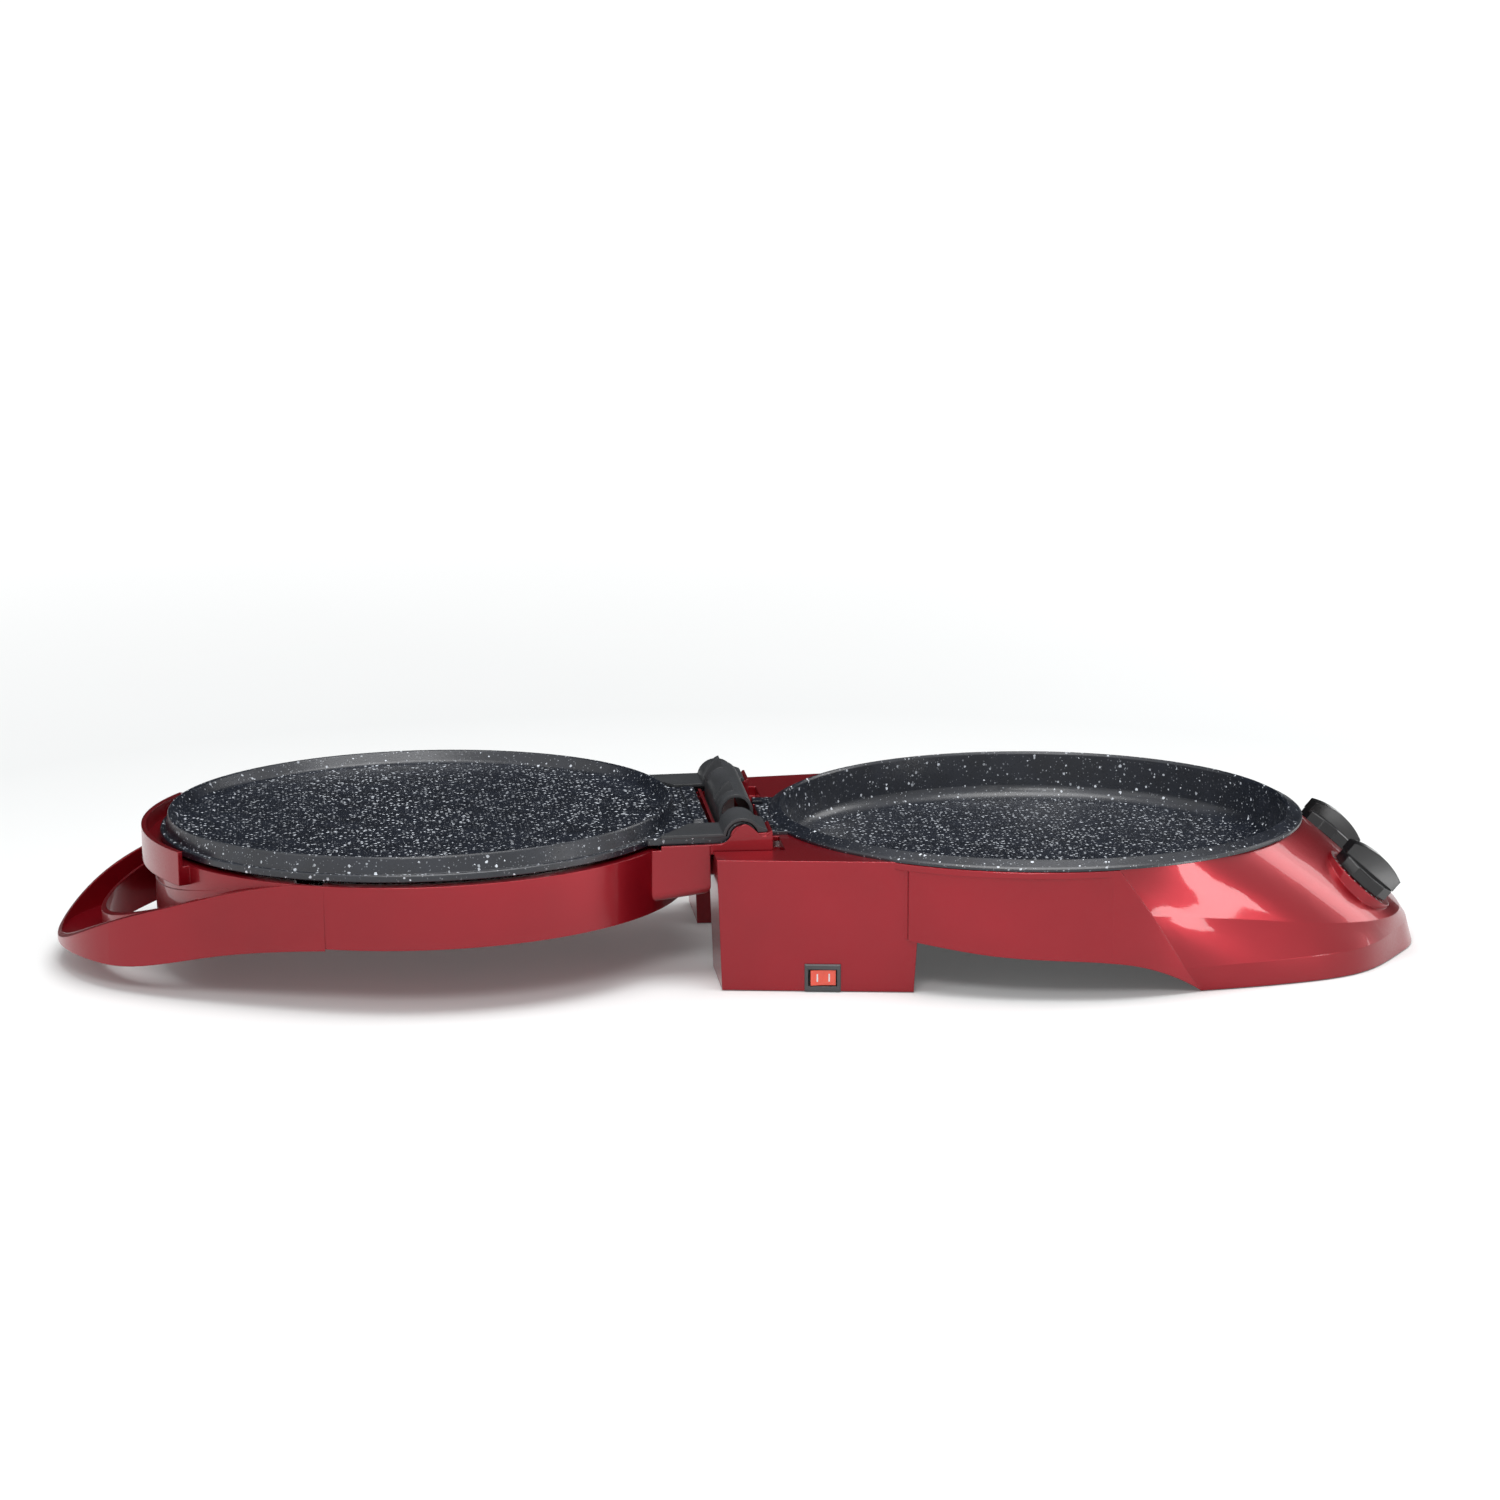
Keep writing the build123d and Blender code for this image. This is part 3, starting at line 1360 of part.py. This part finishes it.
# Dark covers over the hinge
def hinge_cover():
    """Near cover: a slanted plate, a half tube over the strap and a rounded tongue."""
    middle = -(cover_outer_y + cover_inner_y) / 2
    length = cover_outer_y - cover_inner_y
    with BuildPart() as cover:
        with BuildSketch(lid_level(flange_top)):
            with BuildLine():
                Polyline(
                    (cover_outer_x, -cover_outer_y),
                    (-cover_tube_r + 1, -cover_outer_y),
                    (-cover_tube_r + 1, -cover_inner_y),
                    (cover_inner_x, -cover_inner_y),
                    close=True,
                )
            make_face()
        extrude(amount=cover_wall)
        with BuildSketch(lid_side(middle)):
            Circle(cover_tube_r)
            with BuildLine():
                Polyline(
                    (-cover_tube_r - 1, flange_top),
                    (0, flange_top),
                    (0, ear_saddle + tongue_gap),
                    (cover_tube_r + 1, ear_saddle + tongue_gap),
                    (cover_tube_r + 1, cover_tube_r + 1),
                    (-cover_tube_r - 1, cover_tube_r + 1),
                    close=True,
                )
            make_face(mode=Mode.INTERSECT)
            with BuildLine():
                Polyline(
                    (cover_tube_r - 4, ear_saddle + tongue_gap),
                    (tongue_x - 1, ear_saddle + tongue_gap),
                    (tongue_x, ear_saddle + tongue_gap + 1),
                    (tongue_x - 0.6, ear_saddle + tongue_gap + tongue_thickness),
                    (cover_tube_r - 4, ear_saddle + tongue_gap + tongue_thickness + 2.5),
                    close=True,
                )
            make_face()
            Circle(cover_tube_r - cover_wall, mode=Mode.SUBTRACT)
        extrude(amount=length / 2, both=True)
    return cover.part


with BuildPart() as near_hinge_cover:
    add(hinge_cover())
near_hinge_cover.part.label = "near_hinge_cover"
export_step(near_hinge_cover.part, "parts/near_hinge_cover.step")

with BuildPart() as far_hinge_cover:
    add(hinge_cover().mirror(Plane.XZ))
far_hinge_cover.part.label = "far_hinge_cover"
export_step(far_hinge_cover.part, "parts/far_hinge_cover.step")

with BuildPart() as hinge_barrel_cover:
    with BuildSketch(lid_side(0)):
        for margin, mode in ((0, Mode.ADD), (-hood_wall, Mode.SUBTRACT)):
            with Locations((0, hood_arch_height)):
                Circle(hood_half_width + margin, mode=mode)
            with Locations((0, hood_arch_height)):
                Rectangle(2 * (hood_half_width + margin), hood_arch_height - hood_foot - margin,
                          align=(Align.CENTER, Align.MAX), mode=mode)
        with Locations((-hood_half_width + hood_wall, hood_foot)):
            Rectangle(hood_wall - hood_half_width - rear_wall_x, hood_wall, align=(Align.MAX, Align.MIN))
    extrude(amount=hood_half_length, both=True)
    # Two fins with a stepped, curved top
    for side in (-1, 1):
        with BuildSketch(lid_side(side * fin_y)):
            with BuildLine():
                Spline(fin_tip, (-6, 22.5), (-8.9, 18.9), (-hood_half_width - 1.9, 13))
                Polyline(
                    (-hood_half_width - 1.9, 13),
                    (-hood_half_width + 0.5, hood_arch_height),
                    (-hood_half_width + hood_wall, hood_arch_height + 4),
                    (0, hood_arch_height + hood_half_width - 0.5),
                    fin_tip,
                )
            make_face()
            with Locations((0, hood_arch_height)):
                Circle(hood_half_width - hood_wall, mode=Mode.SUBTRACT)
        extrude(amount=fin_thickness / 2, both=True)
hinge_barrel_cover.part.label = "hinge_barrel_cover"
export_step(hinge_barrel_cover.part, "parts/hinge_barrel_cover.step")
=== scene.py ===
import bpy
import json
import math
from mathutils import Matrix, Vector


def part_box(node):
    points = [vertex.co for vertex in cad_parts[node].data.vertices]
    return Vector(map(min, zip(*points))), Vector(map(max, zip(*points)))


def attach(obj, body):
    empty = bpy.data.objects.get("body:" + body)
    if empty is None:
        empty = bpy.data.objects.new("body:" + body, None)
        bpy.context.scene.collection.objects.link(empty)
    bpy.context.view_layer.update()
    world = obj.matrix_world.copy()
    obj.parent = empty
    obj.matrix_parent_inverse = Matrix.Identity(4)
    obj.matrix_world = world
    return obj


# All lengths are in metres, and noise and cell scales are counts per metre.

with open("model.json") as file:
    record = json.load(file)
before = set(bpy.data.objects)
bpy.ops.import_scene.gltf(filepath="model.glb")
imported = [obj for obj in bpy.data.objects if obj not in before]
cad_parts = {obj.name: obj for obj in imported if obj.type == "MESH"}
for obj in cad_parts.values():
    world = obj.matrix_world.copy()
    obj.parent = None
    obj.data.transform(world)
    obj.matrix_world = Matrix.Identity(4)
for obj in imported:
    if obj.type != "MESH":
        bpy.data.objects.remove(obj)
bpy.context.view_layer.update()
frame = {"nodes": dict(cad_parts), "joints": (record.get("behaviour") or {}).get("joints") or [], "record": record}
nodes = frame["nodes"]
scene = bpy.context.scene
scene.view_settings.view_transform = "Standard"


# Node trees

class Nodes:
    """A node tree, with short calls that add nodes to it."""

    def __init__(self, tree):
        self.tree = tree

    def node(self, kind, **settings):
        made = self.tree.nodes.new(kind)
        for key, value in settings.items():
            setattr(made, key, value)
        return made

    def feed(self, socket, value):
        """Link a socket to a node's output, or set it to a constant."""
        if isinstance(value, bpy.types.NodeSocket):
            self.tree.links.new(value, socket)
        else:
            socket.default_value = value

    def work_out(self, operation, a, b=0.0):
        made = self.node("ShaderNodeMath", operation=operation)
        self.feed(made.inputs[0], a)
        self.feed(made.inputs[1], b)
        return made.outputs[0]

    def remap(self, value, low, high, to_low=0.0, to_high=1.0):
        made = self.node("ShaderNodeMapRange")
        for key, number in (("Value", value), ("From Min", low), ("From Max", high),
                            ("To Min", to_low), ("To Max", to_high)):
            self.feed(made.inputs[key], number)
        return made.outputs["Result"]

    def seen_directly(self):
        """1 for what the camera sees, straight or by reflection or through a surface, and 0 for the light given."""
        path = self.node("ShaderNodeLightPath")
        seen = self.work_out("MAXIMUM", path.outputs["Is Camera Ray"], path.outputs["Is Glossy Ray"])
        return self.work_out("MAXIMUM", seen, path.outputs["Is Transmission Ray"])


class Shader(Nodes):
    """A material with a Principled shader."""

    usual_noise = (0.3, 0.7)    # most of a noise's values lie between these

    def __init__(self, name):
        self.material = bpy.data.materials.new(name)
        self.material.use_nodes = True
        super().__init__(self.material.node_tree)
        self.surface = self.tree.nodes["Principled BSDF"]
        coordinates = self.node("ShaderNodeTexCoord")
        self.place = coordinates.outputs["Object"]
        self.facing = coordinates.outputs["Normal"]

    def set(self, **values):
        for key, value in values.items():
            self.feed(self.surface.inputs[key.replace("_", " ")], value)

    def noise(self, scale, detail=2.0, rough=0.5, place=None, output="Fac"):
        made = self.node("ShaderNodeTexNoise")
        self.feed(made.inputs["Vector"], place or self.place)
        self.feed(made.inputs["Scale"], scale)
        self.feed(made.inputs["Detail"], detail)
        self.feed(made.inputs["Roughness"], rough)
        return made.outputs[output]

    def spread(self, noise, low=0.0, high=1.0):
        """Spread a noise's usual values over low to high."""
        return self.remap(noise, *self.usual_noise, low, high)

    def mix(self, share, a, b):
        made = self.node("ShaderNodeMix", data_type="RGBA")
        self.feed(made.inputs["Factor"], share)
        self.feed(made.inputs[6], a)
        self.feed(made.inputs[7], b)
        return made.outputs[2]

    def bump(self, height, strength, distance, normal=None):
        made = self.node("ShaderNodeBump")
        self.feed(made.inputs["Height"], height)
        self.feed(made.inputs["Strength"], strength)
        self.feed(made.inputs["Distance"], distance)
        if normal is not None:
            self.feed(made.inputs["Normal"], normal)
        return made.outputs["Normal"]

    def soft_edges(self, radius):
        made = self.node("ShaderNodeBevel", samples=4)
        self.feed(made.inputs["Radius"], radius)
        return made.outputs["Normal"]


# Materials

clear_coat_rough = 0.05
grain_height = 0.0002


def lacquer():
    """Red metallic lacquer on moulded plastic, under a clear coat."""
    dark = (0.23, 0.002, 0.008, 1)
    light = (0.31, 0.003, 0.012, 1)
    edge = 0.0009
    peel_height = 0.0004
    s = Shader("red_lacquer")
    clouds = s.noise(9.0, 3.0)
    flakes = s.noise(900.0)
    grain = s.noise(1500.0)
    peel = s.noise(260.0)
    rounded = s.soft_edges(edge)
    s.set(Base_Color=s.mix(s.spread(clouds), dark, light), Metallic=0.65, Roughness=s.spread(flakes, 0.30, 0.38),
          Normal=s.bump(grain, 0.10, grain_height, rounded))
    s.set(Coat_Weight=0.5, Coat_Roughness=clear_coat_rough, Coat_Normal=s.bump(peel, 0.025, peel_height, rounded))
    return s.material


def coating():
    """Dark non-stick coating with light mineral specks of three sizes, which crowd more on the level parts."""
    ground_dark = (0.004, 0.006, 0.011, 1)
    ground_light = (0.009, 0.012, 0.020, 1)
    speck_light = (0.80, 0.85, 0.92, 1)
    dimmest = 0.35              # share of the brightest speck's tone
    level_from, level_to = 0.90, 0.99
    edge = 0.0008
    warp_reach = 0.0012
    pit_height = 0.0003
    # Cells per metre, least and greatest radius as shares of a cell, brightness, and the shares of the cells that
    # stay empty on the slopes and on the level parts
    speck_sizes = (
        (390.0, 0.14, 0.40, 1.0, 0.88, 0.46),
        (170.0, 0.05, 0.17, 1.0, 0.55, 0.80),
        (700.0, 0.15, 0.38, 0.3, 0.70, 0.60),
    )

    s = Shader("speckled_coating")
    warp = s.node("ShaderNodeVectorMath", operation="MULTIPLY_ADD")
    s.feed(warp.inputs[0], s.noise(900.0, 1.0, output="Color"))
    s.feed(warp.inputs[1], (warp_reach, warp_reach, warp_reach))
    s.feed(warp.inputs[2], s.place)
    clouds = s.remap(s.noise(60.0, 3.0), 0.35, 0.65)
    direction = s.node("ShaderNodeSeparateXYZ")
    s.feed(direction.inputs[0], s.facing)
    level = s.remap(s.work_out("ABSOLUTE", direction.outputs[2]), level_from, level_to)

    specks = None
    for scale, least, greatest, strength, empty_slopes, empty_level in speck_sizes:
        cell = s.node("ShaderNodeTexVoronoi")
        s.feed(cell.inputs["Vector"], warp.outputs[0])
        s.feed(cell.inputs["Scale"], scale)
        chances = s.node("ShaderNodeSeparateColor")
        s.feed(chances.inputs[0], cell.outputs["Color"])
        empty = s.remap(level, 0.0, 1.0, empty_slopes, empty_level)
        chosen = s.work_out("GREATER_THAN", chances.outputs[0], empty)
        radius = s.remap(chances.outputs[1], 0.0, 1.0, least, greatest)
        dot = s.work_out("LESS_THAN", cell.outputs["Distance"], radius)
        bright = s.remap(chances.outputs[2], 0.0, 1.0, dimmest * strength, strength)
        dot = s.work_out("MULTIPLY", s.work_out("MULTIPLY", dot, chosen), bright)
        specks = dot if specks is None else s.work_out("MAXIMUM", specks, dot)

    grain = s.noise(1400.0)
    s.set(Base_Color=s.mix(specks, s.mix(clouds, ground_dark, ground_light), speck_light),
          Specular_IOR_Level=0.65, Roughness=s.spread(grain, 0.27, 0.35),
          Normal=s.bump(grain, 0.2, pit_height, s.soft_edges(edge)))
    return s.material


def moulded(name, dark, light, rough, grain=1200.0, bump=0.2, edge=0.0005, coat=0.0):
    """Plain moulded or cast surface with a little unevenness in tone, gloss and grain."""
    glossiest, dullest = 0.9, 1.15      # shares of rough
    s = Shader(name)
    clouds = s.noise(40.0, 3.0)
    fine = s.noise(grain)
    s.set(Base_Color=s.mix(s.spread(clouds), (*dark, 1), (*light, 1)),
          Roughness=s.spread(fine, rough * glossiest, rough * dullest),
          Normal=s.bump(fine, bump, grain_height, s.soft_edges(edge)))
    if coat:
        s.set(Coat_Weight=coat, Coat_Roughness=clear_coat_rough)
    return s.material


def drawn_metal(name, dark, light, rough):
    """Bare metal with fine marks drawn along one direction."""
    glossiest, dullest = 0.8, 1.2       # shares of rough
    s = Shader(name)
    stretch = s.node("ShaderNodeMapping")
    s.feed(stretch.inputs["Vector"], s.place)
    s.feed(stretch.inputs["Scale"], (1.0, 30.0, 30.0))
    marks = s.noise(60.0, 3.0, 0.6, stretch.outputs[0])
    s.set(Base_Color=s.mix(marks, (*dark, 1), (*light, 1)), Metallic=1.0,
          Roughness=s.spread(marks, rough * glossiest, rough * dullest),
          Normal=s.bump(marks, 0.1, grain_height))
    return s.material


finishes = {
    "red_shell": lacquer(),
    "stone_coating": coating(),
    "hinge_cover_plastic": moulded("hinge_cover_grey", (0.026, 0.028, 0.031), (0.036, 0.038, 0.042), 0.42,
                                   edge=0.0010),
    "black_plastic": moulded("black_cover", (0.012, 0.012, 0.013), (0.02, 0.02, 0.021), 0.6),
    "foot_rubber": moulded("foot_rubber", (0.014, 0.014, 0.014), (0.022, 0.022, 0.022), 0.85,
                           grain=700.0, bump=0.4),
    "gland_rubber": moulded("gland_rubber", (0.013, 0.013, 0.013), (0.02, 0.02, 0.02), 0.8,
                            grain=700.0, bump=0.4),
    "element_steel": drawn_metal("element_steel", (0.14, 0.12, 0.10), (0.30, 0.28, 0.26), 0.4),
    "reflector_sheet": drawn_metal("reflector_sheet", (0.50, 0.50, 0.50), (0.66, 0.66, 0.66), 0.28),
    "plain_steel": drawn_metal("zinc_steel", (0.42, 0.43, 0.44), (0.60, 0.60, 0.60), 0.32),
    "control_plastic": moulded("control_grey", (0.05, 0.05, 0.05), (0.08, 0.08, 0.08), 0.55),
    "switch_plastic": moulded("switch_grey", (0.045, 0.047, 0.050), (0.060, 0.062, 0.066), 0.38),
    "terminal_plastic": moulded("terminal_white", (0.62, 0.61, 0.57), (0.74, 0.72, 0.68), 0.5),
    "knob_plastic": moulded("knob_black", (0.003, 0.003, 0.004), (0.006, 0.006, 0.007), 0.16,
                            grain=900.0, bump=0.03, edge=0.0007),
    "rocker_plastic": moulded("rocker_red", (0.72, 0.050, 0.018), (0.86, 0.075, 0.028), 0.22,
                              grain=600.0, bump=0.03, edge=0.0004, coat=1.0),
    "fuse_case": moulded("fuse_white", (0.5, 0.5, 0.45), (0.62, 0.62, 0.56), 0.5),
    "bush_metal": drawn_metal("bush_brass", (0.45, 0.30, 0.10), (0.62, 0.45, 0.20), 0.3),
}
slot_of = {part["node"]: part["material_slot"] for part in frame["record"]["subparts"]}
for node, piece in nodes.items():
    finish = finishes[slot_of[node]]
    if not piece.material_slots:
        piece.data.materials.append(finish)
    for slot in piece.material_slots:
        slot.material = finish


def sheet(name, corners, faces, finish):
    """Open mesh from its corners and faces."""
    mesh = bpy.data.meshes.new(name)
    mesh.from_pydata(corners, [], faces)
    mesh.materials.append(finish)
    piece = bpy.data.objects.new(name, mesh)
    scene.collection.objects.link(piece)
    return piece


# Prints: the scale round each knob, and the rocker's two marks

white_print = moulded("white_print", (0.70, 0.70, 0.70), (0.80, 0.80, 0.80), 0.5)


def printed(name, node, body, strips):
    """White print laid on a node's surface. Each strip gives its middle, its length and its width as vectors, and
    the direction it is looked at from."""
    ray_start = 0.03
    lift = 0.00008
    corners = []
    faces = []
    for middle, length, width, away in strips:
        for u in (-0.5, 0.0, 0.5):
            for v in (-0.5, 0.5):
                start = middle + length * u + width * v + away * ray_start
                found, point, *_ = nodes[node].ray_cast(start, -away)
                corners.append((point if found else middle) + away * lift)
        first = len(corners) - 6
        faces += [(first, first + 1, first + 3, first + 2), (first + 2, first + 3, first + 5, first + 4)]
    piece = sheet(name, corners, faces, white_print)
    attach(piece, body)


tick_count = 24
first_tick = -138           # degrees from the top of the scale
tick_step = 12              # degrees
scale_radius = 0.0227
tick_length, tick_width = 0.0022, 0.0007
for joint, side in (("thermostat_turn", "near"), ("timer_turn", "far")):
    facts = next(j for j in frame["joints"] if j["name"] == joint)
    axis = Vector(facts["axis"]).normalized()
    centre = Vector(facts["pos_m"])
    top = (Vector((0, 0, 1)) - axis * axis.z).normalized()
    ticks = []
    for step in range(tick_count):
        outward = Matrix.Rotation(math.radians(first_tick + tick_step * step), 3, axis) @ top
        ticks.append((centre + outward * scale_radius, outward * tick_length, axis.cross(outward) * tick_width, axis))
    printed(side + "_dial_scale", "base_housing", "base", ticks)

mark_shift = 0.0036         # from the rocker's middle, to either side
mark_length, mark_width = 0.0048, 0.0009
low, high = (Vector(c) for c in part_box("switch_rocker"))
middle = (low + high) / 2
marks = [(Vector((middle.x + side * mark_shift, low.y, middle.z)), Vector((0, 0, mark_length)),
          Vector((mark_width, 0, 0)), Vector((0, -1, 0))) for side in (-1, 1)]
printed("rocker_marks", "switch_rocker", "switch_button", marks)


# Floor, light and camera

def floor():
    """Pale floor that the camera sees as white, with the shadow kept. It glows more with the distance, where the
    lights don't reach, and it is a little cool, against the red light off the shells."""
    half = 40.0
    red_share = 0.985
    glow_from, glow_to = 0.75, 2.4
    near_glow, far_glow = 0.08, 0.75
    s = Shader("floor_white")
    tone = s.remap(s.noise(3.0), 0.0, 1.0, 0.78, 0.80)
    colour = s.node("ShaderNodeCombineColor")
    s.feed(colour.inputs[0], s.work_out("MULTIPLY", tone, red_share))
    s.feed(colour.inputs[1], tone)
    s.feed(colour.inputs[2], tone)
    distance = s.node("ShaderNodeVectorMath", operation="LENGTH")
    s.feed(distance.inputs[0], s.place)
    glow = s.remap(distance.outputs["Value"], glow_from, glow_to, near_glow, far_glow)
    s.set(Base_Color=colour.outputs[0], Roughness=0.9, Specular_IOR_Level=0.0,
          Emission_Color=(1, 1, 1, 1), Emission_Strength=s.work_out("MULTIPLY", s.seen_directly(), glow))
    piece = sheet("floor", [(-half, -half, 0), (half, -half, 0), (half, half, 0), (-half, half, 0)],
                  [(0, 1, 2, 3)], s.material)


def card(name, corners, faces, glow):
    """Black or glowing card, which only reflections see."""
    s = Shader(name)
    s.set(Base_Color=s.mix(s.noise(5.0), (0.02, 0.02, 0.02, 1), (0.03, 0.03, 0.03, 1)), Roughness=1.0,
          Specular_IOR_Level=0.0, Emission_Color=(1, 1, 1, 1), Emission_Strength=glow)
    piece = sheet(name, corners, faces, s.material)
    piece.visible_camera = False
    piece.visible_diffuse = False
    piece.visible_shadow = False


def out_from_front(turn, reach, height):
    """Point on a line that leaves the near end of the control front, turned from the near side towards +X."""
    front_end = (0.275, -0.146)
    turn = math.radians(turn)
    return (front_end[0] + reach * math.sin(turn), front_end[1] - reach * math.cos(turn), height)


def soft_box(name, place, aim, size, power):
    """Rectangular light."""
    light = bpy.data.lights.new(name, "AREA")
    light.shape = "RECTANGLE"
    light.size, light.size_y = size
    light.energy = power
    piece = bpy.data.objects.new(name, light)
    piece.location = place
    piece.rotation_euler = (Vector(aim) - Vector(place)).to_track_quat("-Z", "Y").to_euler()
    scene.collection.objects.link(piece)


def backdrop():
    """White surroundings, which give off less light than they show."""
    light_strength = 0.45
    world = bpy.data.worlds.new("studio")
    scene.world = world
    world.use_nodes = True
    sky = Nodes(world.node_tree)
    background = sky.tree.nodes["Background"]
    sky.feed(background.inputs["Color"], (1, 1, 1, 1))
    sky.feed(background.inputs["Strength"], sky.remap(sky.seen_directly(), 0.0, 1.0, light_strength, 1.0))


def photo_camera():
    """Camera fitted to the rims and the flat edges in the photo."""
    tilt, turn = 78.30, -5.548      # degrees
    camera = bpy.data.cameras.new("camera")
    camera.lens = 129.6
    camera.sensor_width = 36.0
    view = bpy.data.objects.new("camera", camera)
    view.location = (-0.31215, -3.2817, 0.8073)
    view.rotation_euler = (math.radians(tilt), 0, math.radians(turn))
    scene.collection.objects.link(view)
    scene.camera = view


floor()
flag_half, flag_y, flag_top = 2.5, 1.3, 1.9
card("back_flag", [(-flag_half, flag_y, 0), (flag_half, flag_y, 0), (flag_half, flag_y, flag_top),
                   (-flag_half, flag_y, flag_top)], [(0, 1, 2, 3)], 0.0)

# The front card lies just over the floor and turns up at its far end, for the highlight on the control front
card_turns = (52.5, 61)         # degrees
card_near, card_far = 0.15, 1.2
card_bottom, card_top = 0.002, 0.16
card_rows = ((card_near, card_bottom), (card_far, card_bottom), (card_far, card_top))
card("front_card", [out_from_front(turn, reach, height) for reach, height in card_rows for turn in card_turns],
     [(0, 1, 3, 2), (2, 3, 5, 4)], 13.0)

object_middle = (0, 0, 0.05)
soft_box("overhead_box", (0.1, -0.3, 1.9), object_middle, (1.6, 1.2), 29)
soft_box("left_box", (-1.9, -1.0, 1.2), object_middle, (1.0, 1.2), 4)
soft_box("back_right_box", (1.95, 0.74, 0.9), (0.34, -0.1, 0.05), (0.8, 0.9), 8)
soft_box("front_high_box", (-0.35, -2.2, 1.75), (0.05, -0.1, 0.08), (1.0, 0.6), 19)
backdrop()
photo_camera()
